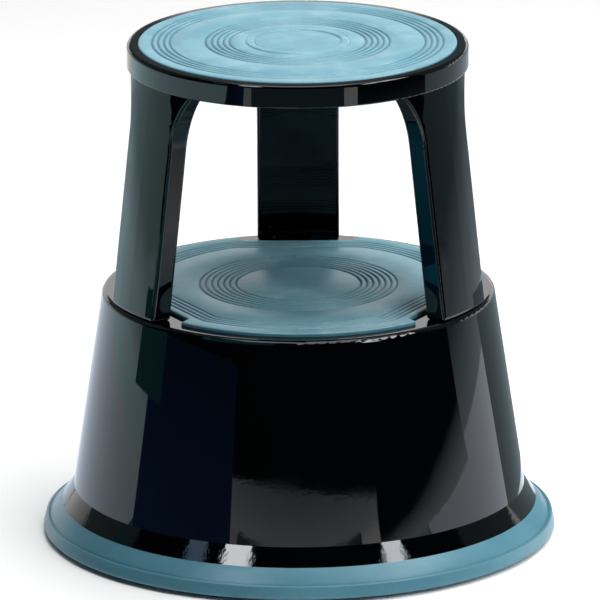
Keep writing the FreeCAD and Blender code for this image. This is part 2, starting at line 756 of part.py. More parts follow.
def make_axle(doc, name, azimuth):
    """Axle pin, riveted over outside the fork."""
    body = make_body(doc, f"wheel_axle_{name}")
    revolve(body, mirrored([
        ("0", "(dims.fork_half_width + dims.axle_head_height)"),
        ("dims.axle_head_radius", "(dims.fork_half_width + dims.axle_head_height)"),
        ("dims.axle_head_radius", "dims.fork_half_width"),
        ("dims.axle_radius", "dims.fork_half_width"),
    ]), role="XY_Plane")
    stand_at_wheel(body, azimuth)
    return body


def make_wheel(doc, name, azimuth):
    """Wheel hub with a boss, a thin web and a rim."""
    body = make_body(doc, f"wheel_hub_{name}")
    rim_inner = "(dims.hub_radius - dims.rim_depth)"
    revolve(body, mirrored([
        ("dims.hub_bore", "dims.boss_half_width"),
        ("dims.boss_radius", "dims.boss_half_width"),
        ("dims.boss_radius", "dims.web_half_width"),
        (rim_inner, "dims.web_half_width"),
        (rim_inner, "dims.rim_half_width"),
        ("dims.hub_radius", "dims.rim_half_width"),
    ]), role="XY_Plane")
    stand_at_wheel(body, azimuth)
    return body


def make_tyre(doc, name, azimuth):
    """Tyre bonded round the hub's rim."""
    body = make_body(doc, f"wheel_tyre_{name}")
    revolve(body, mirrored([
        ("dims.hub_radius", "dims.rim_half_width"),
        ("dims.wheel_radius - dims.tyre_edge", "dims.rim_half_width"),
        ("dims.wheel_radius", "(dims.rim_half_width - dims.tyre_edge)"),
    ]), role="XY_Plane")
    stand_at_wheel(body, azimuth)
    return body


def make_castor(doc, dims, name, azimuth):
    """All pieces of one sprung castor, with its bracket."""
    return [
        make_bracket(doc, dims, name, azimuth),
        make_guide_bush(doc, name, azimuth),
        make_stem(doc, name, azimuth),
        make_washer(doc, f"spring_seat_{name}", COLLAR_END, azimuth),
        make_washer(doc, f"stop_washer_{name}", STOP_START, azimuth),
        make_clip(doc, name, azimuth),
        make_spring(doc, name, azimuth),
        make_fork(doc, name, azimuth),
        make_axle(doc, name, azimuth),
        make_wheel(doc, name, azimuth),
        make_tyre(doc, name, azimuth),
    ]


def check_document(doc, pieces):
    """Stop when any object failed or any piece has no valid solid."""
    for item in doc.Objects:
        if "Invalid" in item.State or "Error" in item.State:
            raise RuntimeError(f"{item.Name} of {item.Label}: {item.State}")
    for piece in pieces:
        shape = piece.Shape
        if shape.isNull() or not shape.isValid() or not shape.Solids:
            raise RuntimeError(f"{piece.Label} has no valid solid")


def main():
    doc = FreeCAD.newDocument("kick_step_stool")
    dims = make_sheet(doc)
    pieces = []
    pieces += make_top_platform(doc, dims)
    pieces += make_top_mat(doc, dims)
    for name, azimuth in LEG_AZIMUTHS.items():
        pieces.append(make_leg(doc, dims, name, azimuth))
    pieces += make_base_drum(doc, dims)
    pieces += make_step_mat(doc, dims)
    pieces += make_bumper_ring(doc, dims)
    pieces += make_rivets(doc, dims)
    for name, azimuth in CASTOR_AZIMUTHS.items():
        pieces += make_castor(doc, dims, name, azimuth)
    doc.recompute()
    check_document(doc, pieces)
    os.makedirs("parts", exist_ok=True)
    for piece in pieces:
        piece.Shape.exportStep(f"parts/{piece.Label}.step")
        print(piece.Label, len(piece.Shape.Solids), round(piece.Shape.Volume / 1000, 2), "cm3")


main()
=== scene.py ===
"""Looks of the kick step stool: treads, bumper ring, springs, finishes and studio on the CAD frame.

Metres, +Z up, origin on the floor on the stool's axis; the rear leg stands towards +Y and the
camera towards -Y.
"""
import bpy
import json
import math
from collections import namedtuple
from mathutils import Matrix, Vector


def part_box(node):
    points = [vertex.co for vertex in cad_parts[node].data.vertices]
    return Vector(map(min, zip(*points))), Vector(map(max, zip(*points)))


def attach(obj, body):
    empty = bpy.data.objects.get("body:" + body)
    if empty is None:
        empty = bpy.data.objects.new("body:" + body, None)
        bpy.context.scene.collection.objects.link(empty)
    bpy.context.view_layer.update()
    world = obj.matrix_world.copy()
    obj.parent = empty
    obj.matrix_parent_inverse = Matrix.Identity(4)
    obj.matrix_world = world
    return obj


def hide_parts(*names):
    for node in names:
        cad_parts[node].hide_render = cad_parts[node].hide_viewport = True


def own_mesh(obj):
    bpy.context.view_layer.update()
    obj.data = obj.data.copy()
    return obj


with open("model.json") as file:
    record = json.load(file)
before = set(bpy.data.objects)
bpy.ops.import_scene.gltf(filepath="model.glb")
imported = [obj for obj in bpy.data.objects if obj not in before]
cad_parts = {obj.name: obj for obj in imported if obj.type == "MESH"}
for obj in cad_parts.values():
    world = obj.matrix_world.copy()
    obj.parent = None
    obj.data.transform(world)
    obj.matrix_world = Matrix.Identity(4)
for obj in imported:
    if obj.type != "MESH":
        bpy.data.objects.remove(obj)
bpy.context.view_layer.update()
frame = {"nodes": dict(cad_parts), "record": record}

MM = 0.001
LEG_AZIMUTHS = (90.0, 210.0, 330.0)
CASTORS = ("front", "left", "right")
SLOTS = {part["node"]: part["material_slot"] for part in frame["record"]["subparts"]}


# --- Mesh helpers -----------------------------------------------------------------------------

SHARP_ANGLE = 35.0
LATHE_COLUMNS = 360


def add_mesh(name, points, faces):
    """New mesh object with smooth faces, sharp where it folds by more than SHARP_ANGLE degrees."""
    mesh = bpy.data.meshes.new(name)
    mesh.from_pydata(points, [], faces)
    mesh.validate()
    mesh.polygons.foreach_set("use_smooth", [True] * len(mesh.polygons))
    mesh.set_sharp_from_angle(angle=math.radians(SHARP_ANGLE))
    piece = bpy.data.objects.new(name, mesh)
    bpy.context.scene.collection.objects.link(piece)
    return piece


def skin_rings(name, rings, loop=False):
    """Join closed rings of equally many points; cap the ends, or join the last ring to the first."""
    columns = len(rings[0])
    points = [point for ring in rings for point in ring]
    faces = []
    for row in range(len(rings) if loop else len(rings) - 1):
        base = row * columns
        below = (row + 1) % len(rings) * columns
        for column in range(columns):
            following = (column + 1) % columns
            faces.append((base + following, base + column, below + column, below + following))
    if not loop:
        last = len(points) - columns
        faces.append(tuple(range(columns)))
        faces.append(tuple(range(last, last + columns))[::-1])
    return add_mesh(name, points, faces)


def lathe(name, profile, loop=False):
    """Turn a (radius, height) profile round the Z axis, from the axis outwards and down."""
    turns = [2 * math.pi * column / LATHE_COLUMNS for column in range(LATHE_COLUMNS)]
    rings = [[(radius * math.cos(turn), radius * math.sin(turn), height) for turn in turns]
             for radius, height in profile]
    return skin_rings(name, rings, loop)


def dress_up(piece, material, replaced):
    """Give a piece of the stool's body its material, and hide the CAD node it stands for."""
    piece.data.materials.append(material)
    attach(piece, "stool")
    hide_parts(replaced)


# --- Treads -----------------------------------------------------------------------------------

GROOVE_SAMPLES = 8
GROOVE_DEPTH = 1.3 * MM
EDGE_SAMPLES = 6
CAP_RADIUS = 4 * MM


def groove_drop(place, lines, width, depth):
    """Depth of a rounded groove at a place across a family of groove lines."""
    nearest = min(abs(place - line) for line in lines)
    if nearest >= width / 2:
        return 0.0
    return depth * (0.5 + 0.5 * math.cos(2 * math.pi * nearest / width))


def groove_section(lines, width, depth=GROOVE_DEPTH):
    """(place, drop) points across a family of grooves, in order."""
    places = {line + width * (index / GROOVE_SAMPLES - 0.5)
              for line in lines for index in range(GROOVE_SAMPLES + 1)}
    return [(place, groove_drop(place, lines, width, depth)) for place in sorted(places)]


def rounded_edge(radius, level, size):
    """(radius, height) points round the upper edge of a tread."""
    turns = [math.radians(90 * index / EDGE_SAMPLES) for index in range(EDGE_SAMPLES + 1)]
    return [(radius - size + size * math.sin(turn), level - size + size * math.cos(turn))
            for turn in turns]


TOP_GROOVE_WIDTH = 3.6 * MM
TOP_INNER_GROOVES = (58, 63, 68, 73, 78)  # mm from the axis
TOP_OUTER_GROOVES = (108.5, 113.5, 118.5, 123.5)  # mm from the axis
TOP_MIDDLE_RADIUS = 20 * MM
TOP_EDGE_SIZE = 1.6 * MM
BEAD_HEIGHT = 0.8 * MM
BEAD_INNER = 37.5 * MM
BEAD_OUTER = 43.5 * MM
BEAD_SLOPE = 1.0 * MM
BEAD_CURVE = ((0.3, 0.65), (0.65, 0.93), (1.0, 1.0))  # shares of the bead's slope and height
TRENCH_WIDTH = 1.8 * MM
INNER_TRENCH_DEPTH = 0.5 * MM
OUTER_TRENCH_DEPTH = 0.4 * MM


def make_top_tread():
    """Round tread: a low bead round its centre and two groups of circular grooves."""
    low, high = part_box("top_mat")
    radius = (high.x - low.x) / 2
    level = high.z - BEAD_HEIGHT
    inner_trench = groove_section([BEAD_INNER - TRENCH_WIDTH / 2], TRENCH_WIDTH, INNER_TRENCH_DEPTH)
    outer_trench = groove_section([BEAD_OUTER + TRENCH_WIDTH / 2], TRENCH_WIDTH, OUTER_TRENCH_DEPTH)
    grooves = groove_section([line * MM for line in TOP_INNER_GROOVES], TOP_GROOVE_WIDTH)
    grooves += groove_section([line * MM for line in TOP_OUTER_GROOVES], TOP_GROOVE_WIDTH)
    profile = [(CAP_RADIUS, level), (TOP_MIDDLE_RADIUS, level)]
    profile += [(place, level - drop) for place, drop in inner_trench]
    profile += [(BEAD_INNER + BEAD_SLOPE * share, level + BEAD_HEIGHT * rise)
                for share, rise in BEAD_CURVE]
    profile += [(BEAD_OUTER - BEAD_SLOPE * share, level + BEAD_HEIGHT * rise)
                for share, rise in (*BEAD_CURVE[::-1], (0.0, 0.0))]
    profile += [(place, level - drop) for place, drop in outer_trench[1:] + grooves]
    profile += rounded_edge(radius, level, TOP_EDGE_SIZE)
    profile.append((radius, low.z))
    dress_up(lathe("top_tread", profile), teal_rubber("teal_rubber_top_tread", level), "top_mat")


STEP_TREAD_RADIUS = 153.5 * MM
STEP_EDGE_SIZE = 1.5 * MM
STEP_GROOVE_WIDTH = 3.4 * MM
STEP_CENTRE_GROOVES = (53.0, 58.3, 63.4, 68.6, 73.7, 79.0, 84.0)  # mm from the axis
STEP_RIM_GROOVES = (0, 5, 10, 15)  # mm from the innermost one
RIM_GROOVE_RADIUS = 124 * MM
RIM_GROOVE_REACH = 111.5 * MM
RIM_GROOVE_BLEND = 3 * MM
NOTCH_REACH = 134 * MM
NOTCH_HALF_ANGLE = 19.5  # degrees, as the three below
NOTCH_CORNER = 1.2
NOTCH_MARGIN = 4
FINE_STEP = 0.1
FINE_STEPS = 16


def leg_turn(turn):
    """Signed angle in degrees from a direction to the nearest leg."""
    turns = [(turn - azimuth + 180) % 360 - 180 for azimuth in LEG_AZIMUTHS]
    return min(turns, key=abs)


def soft_min(first, second, blend):
    """Smaller of two lengths, rounded over where they meet."""
    gap = max(blend - abs(first - second), 0) / blend
    return min(first, second) - gap * gap * blend / 4


def rim_groove(turn, offset):
    """Radius of a groove near the rim: a circle with a flat facing each leg."""
    flat = (RIM_GROOVE_REACH + offset) / math.cos(math.radians(leg_turn(turn)))
    return soft_min(RIM_GROOVE_RADIUS + offset, flat, RIM_GROOVE_BLEND)


def tread_outline(turn, inset):
    """Radius of the lower tread's outline, set in by a small distance."""
    away = abs(leg_turn(turn))
    slant = math.radians(min(away, NOTCH_HALF_ANGLE + NOTCH_MARGIN))
    notch = (NOTCH_REACH - inset) / math.cos(slant)
    circle = STEP_TREAD_RADIUS - inset
    edge = NOTCH_HALF_ANGLE + math.degrees(inset / circle)
    share = min(max((away - edge) / NOTCH_CORNER + 0.5, 0), 1)
    share = share * share * (3 - 2 * share)
    return notch + (circle - notch) * share


def step_turns():
    """Directions in degrees round the lower tread, closer together at the notches' sides."""
    turns = [float(step) for step in range(360)]
    for azimuth in LEG_AZIMUTHS:
        for side in (-1, 1):
            edge = azimuth + side * NOTCH_HALF_ANGLE
            turns += [edge + FINE_STEP * step for step in range(-FINE_STEPS, FINE_STEPS + 1)]
    return sorted({round(turn % 360, 3) for turn in turns})


def make_step_tread():
    """Notched tread: circular grooves round its centre, and grooves that follow its outline."""
    low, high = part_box("step_mat")
    level = high.z
    turns = step_turns()
    rings = []

    def add_ring(height, radius_at, offset):
        ring = []
        for turn in turns:
            angle = math.radians(turn)
            radius = radius_at(turn, offset)
            ring.append((radius * math.cos(angle), radius * math.sin(angle), height))
        rings.append(ring)

    def circle(turn, radius):
        return radius

    centre_lines = [line * MM for line in STEP_CENTRE_GROOVES]
    rim_lines = [line * MM for line in STEP_RIM_GROOVES]
    add_ring(level, circle, CAP_RADIUS)
    for place, drop in groove_section(centre_lines, STEP_GROOVE_WIDTH):
        add_ring(level - drop, circle, place)
    for place, drop in groove_section(rim_lines, STEP_GROOVE_WIDTH):
        add_ring(level - drop, rim_groove, place)
    for outset, height in rounded_edge(0.0, level, STEP_EDGE_SIZE):
        add_ring(height, tread_outline, -outset)
    add_ring(low.z, tread_outline, 0.0)
    dress_up(skin_rings("step_tread", rings), teal_rubber("teal_rubber_step_tread", level), "step_mat")


# --- Bumper ring ------------------------------------------------------------------------------

# Outline in mm: inset from the ring's rim, and height over its lower side.
SLOPE_LINE = ((16.01, 23.2), (6.2, 12.25), (5.6, 11.2), (5.25, 10.6), (5.0, 10.35))
RING_BEAD_MIDDLE = (3.4, 9.7)
RING_BEAD_RADIUS = 1.5
RING_BEAD_TURNS = range(140, 0, -13)  # degrees
RIM_LINE = ((1.75, 9.0), (1.3, 7.4), (0.75, 5.2), (0.25, 3.2),
            (0.0, 2.0), (0.1, 1.1), (0.5, 0.35), (1.2, 0.0))
SLOT_LINE = ((16.51, 0.0), (16.51, 11.2), (13.61, 11.2), (13.61, 5.2), (12.61, 5.2), (12.61, 18.2))


def make_bumper_ring(material):
    """Bumper ring: a slope down to a shallow valley, a small bead, and an upright rim."""
    low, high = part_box("bumper_ring")
    turns = [math.radians(angle) for angle in RING_BEAD_TURNS]
    bead_inset, bead_level = RING_BEAD_MIDDLE
    bead = [(bead_inset - RING_BEAD_RADIUS * math.cos(turn),
             bead_level + RING_BEAD_RADIUS * math.sin(turn)) for turn in turns]
    outline = [*SLOPE_LINE, *bead, *RIM_LINE, *SLOT_LINE]
    profile = [(high.x - inset * MM, low.z + height * MM) for inset, height in outline]
    dress_up(lathe("beaded_ring", profile, loop=True), material, "bumper_ring")


# --- Springs ----------------------------------------------------------------------------------

WIRE_RADIUS = 0.9 * MM
WIRE_CORNERS = 12
ACTIVE_TURNS = 4.0
END_TURNS = 1.0
STEPS_PER_TURN = 44
END_RISE = 1.7 * WIRE_RADIUS


def make_spring(name, material):
    """Compression spring with closed, ground ends."""
    low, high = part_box(f"coil_spring_{name}")
    centre_x = (low.x + high.x) / 2
    centre_y = (low.y + high.y) / 2
    coil_radius = (high.x - low.x) / 2 - WIRE_RADIUS
    total_turns = ACTIVE_TURNS + 2 * END_TURNS
    first = low.z + WIRE_RADIUS
    last = high.z - WIRE_RADIUS

    def height_at(turns):
        if turns < END_TURNS:
            return first + END_RISE * turns / END_TURNS
        if turns > END_TURNS + ACTIVE_TURNS:
            return last - END_RISE * (total_turns - turns) / END_TURNS
        share = (turns - END_TURNS) / ACTIVE_TURNS
        return first + END_RISE + (last - first - 2 * END_RISE) * share

    rings = []
    count = int(total_turns * STEPS_PER_TURN)
    for index in range(count + 1):
        turns = total_turns * index / count
        angle = 2 * math.pi * turns
        height = height_at(turns)
        ring = []
        for corner in range(WIRE_CORNERS):
            slant = 2 * math.pi * corner / WIRE_CORNERS
            radius = coil_radius + WIRE_RADIUS * math.cos(slant)
            level = min(max(height + WIRE_RADIUS * math.sin(slant), low.z), high.z)
            ring.append((centre_x + radius * math.cos(angle),
                         centre_y + radius * math.sin(angle), level))
        rings.append(ring)
    piece = skin_rings(f"spring_{name}", rings)
    dress_up(piece, material, f"coil_spring_{name}")
    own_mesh(piece)


# --- Materials --------------------------------------------------------------------------------

MIX_FIRST, MIX_SECOND, MIX_RESULT = 6, 7, 2  # colour sockets of the Mix node


def new_material(name):
    """Material with an empty node tree, its shader and its object coordinates."""
    material = bpy.data.materials.new(name)
    material.use_nodes = True
    tree = material.node_tree
    shader = tree.nodes["Principled BSDF"]
    place = tree.nodes.new("ShaderNodeTexCoord").outputs["Object"]
    return material, tree, shader, place


def add_noise(tree, place, scale, detail=3.0, roughness=0.5, stretch=None):
    """Noise value over object coordinates, in features per metre, stretched per axis if asked."""
    if stretch:
        mapping = tree.nodes.new("ShaderNodeMapping")
        mapping.inputs["Scale"].default_value = stretch
        tree.links.new(place, mapping.inputs["Vector"])
        place = mapping.outputs["Vector"]
    noise = tree.nodes.new("ShaderNodeTexNoise")
    noise.inputs["Scale"].default_value = scale
    noise.inputs["Detail"].default_value = detail
    noise.inputs["Roughness"].default_value = roughness
    tree.links.new(place, noise.inputs["Vector"])
    return noise.outputs["Fac"]


def along_axis(tree, place, axis):
    """One coordinate of a place."""
    parts = tree.nodes.new("ShaderNodeSeparateXYZ")
    tree.links.new(place, parts.inputs["Vector"])
    return parts.outputs[axis]


def remap(tree, value, low, high, start=0.3, end=0.7):
    """Value moved from the range start..end to low..high."""
    node = tree.nodes.new("ShaderNodeMapRange")
    for socket, number in (("From Min", start), ("From Max", end), ("To Min", low), ("To Max", high)):
        node.inputs[socket].default_value = number
    tree.links.new(value, node.inputs["Value"])
    return node.outputs["Result"]


def mix_colours(tree, factor, first, second):
    """Colour between two colours; each may be a plain colour or another node's output."""
    node = tree.nodes.new("ShaderNodeMix")
    node.data_type = "RGBA"
    tree.links.new(factor, node.inputs["Factor"])
    for index, colour in ((MIX_FIRST, first), (MIX_SECOND, second)):
        if isinstance(colour, tuple):
            node.inputs[index].default_value = (*colour, 1.0)
        else:
            tree.links.new(colour, node.inputs[index])
    return node.outputs[MIX_RESULT]


def add_bump(tree, shader, layers):
    """Stack (value, strength, distance) bump layers onto a shader's normal."""
    normal = None
    for value, strength, distance in layers:
        bump = tree.nodes.new("ShaderNodeBump")
        bump.inputs["Strength"].default_value = strength
        bump.inputs["Distance"].default_value = distance
        tree.links.new(value, bump.inputs["Height"])
        if normal:
            tree.links.new(normal, bump.inputs["Normal"])
        normal = bump.outputs["Normal"]
    tree.links.new(normal, shader.inputs["Normal"])


DEEP_BLACK = (0.0002, 0.0003, 0.0005)
SOFT_BLACK = (0.0006, 0.0008, 0.0012)
FLARE_FULL = 0.034  # level up to which the ripple is at full strength
FLARE_END = 0.042  # level from which there is none


def gloss_paint():
    """Deep black stoved enamel with a faint orange peel, rippled on the drum's flare."""
    material, tree, shader, place = new_material("gloss_black_paint")
    tone = add_noise(tree, place, scale=9.0, detail=2.0)
    tree.links.new(mix_colours(tree, tone, DEEP_BLACK, SOFT_BLACK), shader.inputs["Base Color"])
    haze = add_noise(tree, place, scale=22.0, detail=4.0, roughness=0.6)
    tree.links.new(remap(tree, haze, 0.012, 0.040), shader.inputs["Roughness"])
    peel = add_noise(tree, place, scale=240.0, detail=2.0)
    level = along_axis(tree, place, "Z")
    ripple = tree.nodes.new("ShaderNodeMath")
    ripple.operation = "MULTIPLY"
    tree.links.new(remap(tree, level, 1.0, 0.0, FLARE_FULL, FLARE_END), ripple.inputs[0])
    tree.links.new(add_noise(tree, place, scale=330.0, detail=2.0, roughness=0.6), ripple.inputs[1])
    add_bump(tree, shader, [(peel, 0.012, 0.0003), (ripple.outputs["Value"], 0.27, 0.0003)])
    return material


RubberLook = namedtuple("RubberLook", "tint most_scuffed smoothest")
# The ring's teal is the treads' teal made darker: partly a deeper, more saturated colour, partly
# painted shade for its dimly lit sides.
RING_LOOK = RubberLook(tint=(0.48, 0.64, 0.68), most_scuffed=0.20, smoothest=0.26)
TREAD_LOOK = RubberLook(tint=(1.0, 1.0, 1.0), most_scuffed=0.75, smoothest=0.34)
TEAL_DEEP = (0.112, 0.272, 0.345)
TEAL_FADED = (0.155, 0.340, 0.415)
TEAL_SCUFFED = (0.250, 0.440, 0.500)
TEAL_GRAIN = (0.075, 0.220, 0.290)
TEAL_GROOVE_SHADE = (0.040, 0.130, 0.175)


def teal_rubber(name="teal_rubber", level=None):
    """Moulded teal rubber; a tread is paler and scuffed, the ring darker, partly through painted shade,
    and painted shade darkens a tread's grooves below a level.
    """
    look = RING_LOOK if level is None else TREAD_LOOK

    def tinted_and_shaded(colour):
        return tuple(share * channel for share, channel in zip(look.tint, colour))

    material, tree, shader, place = new_material(name)
    cloud = add_noise(tree, place, scale=9.0, detail=4.0, roughness=0.6)
    scuff = add_noise(tree, place, scale=30.0, detail=6.0, roughness=0.70)
    fine = add_noise(tree, place, scale=900.0, detail=2.0)
    faded = remap(tree, cloud, 0.0, 1.0)
    scuffed = remap(tree, scuff, 0.0, look.most_scuffed, 0.46, 0.68)
    colour = mix_colours(tree, faded, tinted_and_shaded(TEAL_DEEP), tinted_and_shaded(TEAL_FADED))
    colour = mix_colours(tree, scuffed, colour, tinted_and_shaded(TEAL_SCUFFED))
    colour = mix_colours(tree, remap(tree, fine, 0.0, 0.2), colour, tinted_and_shaded(TEAL_GRAIN))
    if level is not None:
        # Painted shade: below the tread's level its grooves darken towards a dark teal.
        depth = remap(tree, along_axis(tree, place, "Z"), 0.75, 0.0, level - 1.0 * MM, level - 0.1 * MM)
        colour = mix_colours(tree, depth, colour, TEAL_GROOVE_SHADE)
    tree.links.new(colour, shader.inputs["Base Color"])
    sheen = remap(tree, scuff, look.smoothest, look.smoothest + 0.14)
    tree.links.new(sheen, shader.inputs["Roughness"])
    grain = tree.nodes.new("ShaderNodeTexVoronoi")
    grain.feature = "DISTANCE_TO_EDGE"
    grain.inputs["Scale"].default_value = 620.0
    tree.links.new(place, grain.inputs["Vector"])
    add_bump(tree, shader, [(grain.outputs["Distance"], 0.15, 0.0003), (fine, 0.12, 0.0002)])
    return material


def zinc_steel():
    """Bright zinc plate over drawn steel, with fine scratches and a faint warm bloom."""
    material, tree, shader, place = new_material("zinc_steel")
    bloom = add_noise(tree, place, scale=60.0)
    colour = mix_colours(tree, bloom, (0.60, 0.61, 0.62), (0.70, 0.68, 0.61))
    tree.links.new(colour, shader.inputs["Base Color"])
    shader.inputs["Metallic"].default_value = 1.0
    scratch = add_noise(tree, place, scale=400.0, detail=4.0, roughness=0.6, stretch=(1.0, 1.0, 0.08))
    tree.links.new(remap(tree, scratch, 0.24, 0.42), shader.inputs["Roughness"])
    add_bump(tree, shader, [(scratch, 0.12, 0.0002)])
    return material


def spring_steel():
    """Oiled, drawn spring wire."""
    material, tree, shader, place = new_material("spring_steel")
    oil = add_noise(tree, place, scale=120.0)
    colour = mix_colours(tree, oil, (0.20, 0.20, 0.21), (0.34, 0.33, 0.32))
    tree.links.new(colour, shader.inputs["Base Color"])
    shader.inputs["Metallic"].default_value = 1.0
    tree.links.new(remap(tree, oil, 0.22, 0.40), shader.inputs["Roughness"])
    add_bump(tree, shader, [(add_noise(tree, place, scale=900.0, detail=2.0), 0.1, 0.0001)])
    return material


def white_nylon():
    """Moulded natural nylon, slightly cloudy."""
    material, tree, shader, place = new_material("white_nylon")
    cloud = add_noise(tree, place, scale=80.0)
    colour = mix_colours(tree, cloud, (0.66, 0.64, 0.57), (0.76, 0.74, 0.68))
    tree.links.new(colour, shader.inputs["Base Color"])
    tree.links.new(remap(tree, cloud, 0.38, 0.52), shader.inputs["Roughness"])
    shader.inputs["Subsurface Weight"].default_value = 0.15
    shader.inputs["Subsurface Scale"].default_value = 1 * MM
    add_bump(tree, shader, [(add_noise(tree, place, scale=700.0, detail=2.0), 0.15, 0.0002)])
    return material


def tyre_rubber():
    """Grey castor rubber, scuffed on its tread."""
    material, tree, shader, place = new_material("tyre_rubber")
    scuff = add_noise(tree, place, scale=180.0, detail=5.0, roughness=0.65)
    scuffed = remap(tree, scuff, 0.0, 1.0)
    colour = mix_colours(tree, scuffed, (0.050, 0.051, 0.054), (0.105, 0.103, 0.100))
    tree.links.new(colour, shader.inputs["Base Color"])
    tree.links.new(remap(tree, scuff, 0.55, 0.78), shader.inputs["Roughness"])
    add_bump(tree, shader, [(scuff, 0.3, 0.0003)])
    return material


MATERIAL_MAKERS = {
    "black_paint": gloss_paint,
    "rivet_steel": gloss_paint,
    "teal_rubber": teal_rubber,
    "zinc_steel": zinc_steel,
    "spring_steel": spring_steel,
    "white_nylon": white_nylon,
    "tyre_rubber": tyre_rubber,
}


def paint_nodes(materials):
    """Give every CAD node the material of its slot."""
    for node, piece in frame["nodes"].items():
        piece.data.materials.clear()
        piece.data.materials.append(materials[SLOTS[node]])


# --- Camera, floor and lights -----------------------------------------------------------------

CAMERA_PLACE = (0.0013, -7.886, 2.493)
CAMERA_LENS = 577.6  # mm, on a sensor 36 mm wide
CAMERA_DOWN = 16.2  # degrees below level
CAMERA_ROLL = -0.2  # degrees
FLOOR_HALF_SIZE = 30.0
LIGHTS_AIM = 0.25  # level the soft lights look at
BRIGHT_SIDE = (0.50, 0.87, 0.0)  # direction in which the surround is brightest


def make_camera():
    """Long lens from the front, a little above the upper step."""
    data = bpy.data.cameras.new("camera")
    data.sensor_width = 36.0
    data.lens = CAMERA_LENS
    data.clip_end = 100.0
    camera = bpy.data.objects.new("camera", data)
    bpy.context.scene.collection.objects.link(camera)
    camera.location = CAMERA_PLACE
    camera.rotation_mode = "ZXY"
    camera.rotation_euler = (math.radians(90 - CAMERA_DOWN), 0, math.radians(CAMERA_ROLL))
    bpy.context.scene.camera = camera


def make_floor():
    """Plain pale floor."""
    size = FLOOR_HALF_SIZE
    corners = [(-size, -size, 0), (size, -size, 0), (size, size, 0), (-size, size, 0)]
    piece = add_mesh("floor", corners, [(0, 1, 2, 3)])
    material, tree, shader, place = new_material("floor")
    tone = add_noise(tree, place, scale=0.8, detail=2.0)
    colour = mix_colours(tree, tone, (0.86, 0.86, 0.86), (0.90, 0.90, 0.90))
    tree.links.new(colour, shader.inputs["Base Color"])
    shader.inputs["Roughness"].default_value = 0.9
    shader.inputs["Specular IOR Level"].default_value = 0.1
    piece.data.materials.append(material)


def make_softbox(name, location, size, power):
    """Square soft light that looks at the middle of the stool and isn't mirrored in its gloss."""
    data = bpy.data.lights.new(name, "AREA")
    data.shape = "RECTANGLE"
    data.size = size
    data.size_y = size
    data.energy = power
    light = bpy.data.objects.new(name, data)
    bpy.context.scene.collection.objects.link(light)
    light.location = location
    direction = (-location[0], -location[1], LIGHTS_AIM - location[2])
    yaw = math.atan2(direction[1], direction[0])
    tilt = math.atan2(math.hypot(direction[0], direction[1]), -direction[2])
    light.rotation_euler = (tilt, 0, yaw - math.pi / 2)
    light.visible_glossy = False


def make_surround():
    """White surround that is bright behind and to the right, and nearly dark in front."""
    world = bpy.data.worlds.new("studio")
    bpy.context.scene.world = world
    world.use_nodes = True
    tree = world.node_tree
    background = tree.nodes["Background"]
    place = tree.nodes.new("ShaderNodeTexCoord").outputs["Generated"]
    aim = tree.nodes.new("ShaderNodeVectorMath")
    aim.operation = "DOT_PRODUCT"
    aim.inputs[1].default_value = BRIGHT_SIDE
    tree.links.new(place, aim.inputs[0])
    shade = remap(tree, aim.outputs["Value"], low=0.02, high=1.25, start=-0.25, end=0.60)
    background.inputs["Color"].default_value = (1.0, 1.0, 1.0, 1.0)
    tree.links.new(shade, background.inputs["Strength"])


# --- Flags: what the black paint mirrors ------------------------------------------------------

GROUND_LEVEL = 2 * MM
DARK = (0.004, 0.005, 0.006)
DIM = (0.10, 0.13, 0.14)
ROOM_REACH = 3.0
CEILING = 5.0
SHEET_AZIMUTHS = (-36, 39)
SHEET_TOP = 0.082
SHEET_SAG = 0.035
SHEET_TOP_AZIMUTH = -4
SHEET_HALF_ANGLE = 33
Glow = namedtuple("Glow", "first second axis start end")


def plain(colour):
    """Even glow."""
    return Glow(colour, colour, "Z", 0.0, 1.0)


def rising(first, second, start, end):
    """Glow that goes from one colour to another between two levels."""
    return Glow(first, second, "Z", start, end)


def spreading(first, second, start, end):
    """Glow that goes from one colour to another between two distances from the axis."""
    return Glow(first, second, "R", start, end)


def glow_material(name, glow):
    """Emission that follows a glow."""
    material = bpy.data.materials.new(name)
    material.use_nodes = True
    tree = material.node_tree
    tree.nodes.clear()
    place = tree.nodes.new("ShaderNodeTexCoord").outputs["Object"]
    if glow.axis == "R":
        length = tree.nodes.new("ShaderNodeVectorMath")
        length.operation = "LENGTH"
        tree.links.new(place, length.inputs[0])
        value = length.outputs["Value"]
    else:
        value = along_axis(tree, place, glow.axis)
    share = remap(tree, value, 0.0, 1.0, glow.start, glow.end)
    emission = tree.nodes.new("ShaderNodeEmission")
    tree.links.new(mix_colours(tree, share, glow.first, glow.second), emission.inputs["Color"])
    output = tree.nodes.new("ShaderNodeOutputMaterial")
    tree.links.new(emission.outputs["Emission"], output.inputs["Surface"])
    return material


def towards(azimuth, reach, level):
    """Point at a reach from the axis; azimuth in degrees from the camera's side, right positive."""
    turn = math.radians(azimuth)
    return (reach * math.sin(turn), -reach * math.cos(turn), level)


def arc(first, last, steps=24):
    """Evenly spaced azimuths."""
    return [first + (last - first) * index / steps for index in range(steps + 1)]


def make_flag(name, lower, upper, glow):
    """Glowing flag between two rows of points, seen only in the stool's gloss."""
    material = glow_material("glow_" + name.removeprefix("flag_"), glow)
    count = len(lower)
    faces = [(index, index + 1, count + index + 1, count + index) for index in range(count - 1)]
    piece = add_mesh(name, lower + upper, faces)
    piece.data.materials.append(material)
    piece.visible_camera = False
    piece.visible_diffuse = False
    piece.visible_shadow = False
    piece.visible_transmission = False
    piece.visible_volume_scatter = False


def make_wall(name, azimuths, reach, levels, glow):
    """Upright flag along an arc round the stool."""
    lower, upper = [[towards(azimuth, reach, level) for azimuth in arc(*azimuths)]
                    for level in levels]
    make_flag(name, lower, upper, glow)


def make_ground(name, azimuths, reaches, glow):
    """Flag lying just over the floor, between two distances from the axis."""
    near, far = [[towards(azimuth, reach, GROUND_LEVEL) for azimuth in arc(*azimuths)]
                 for reach in reaches]
    make_flag(name, near, far, glow)


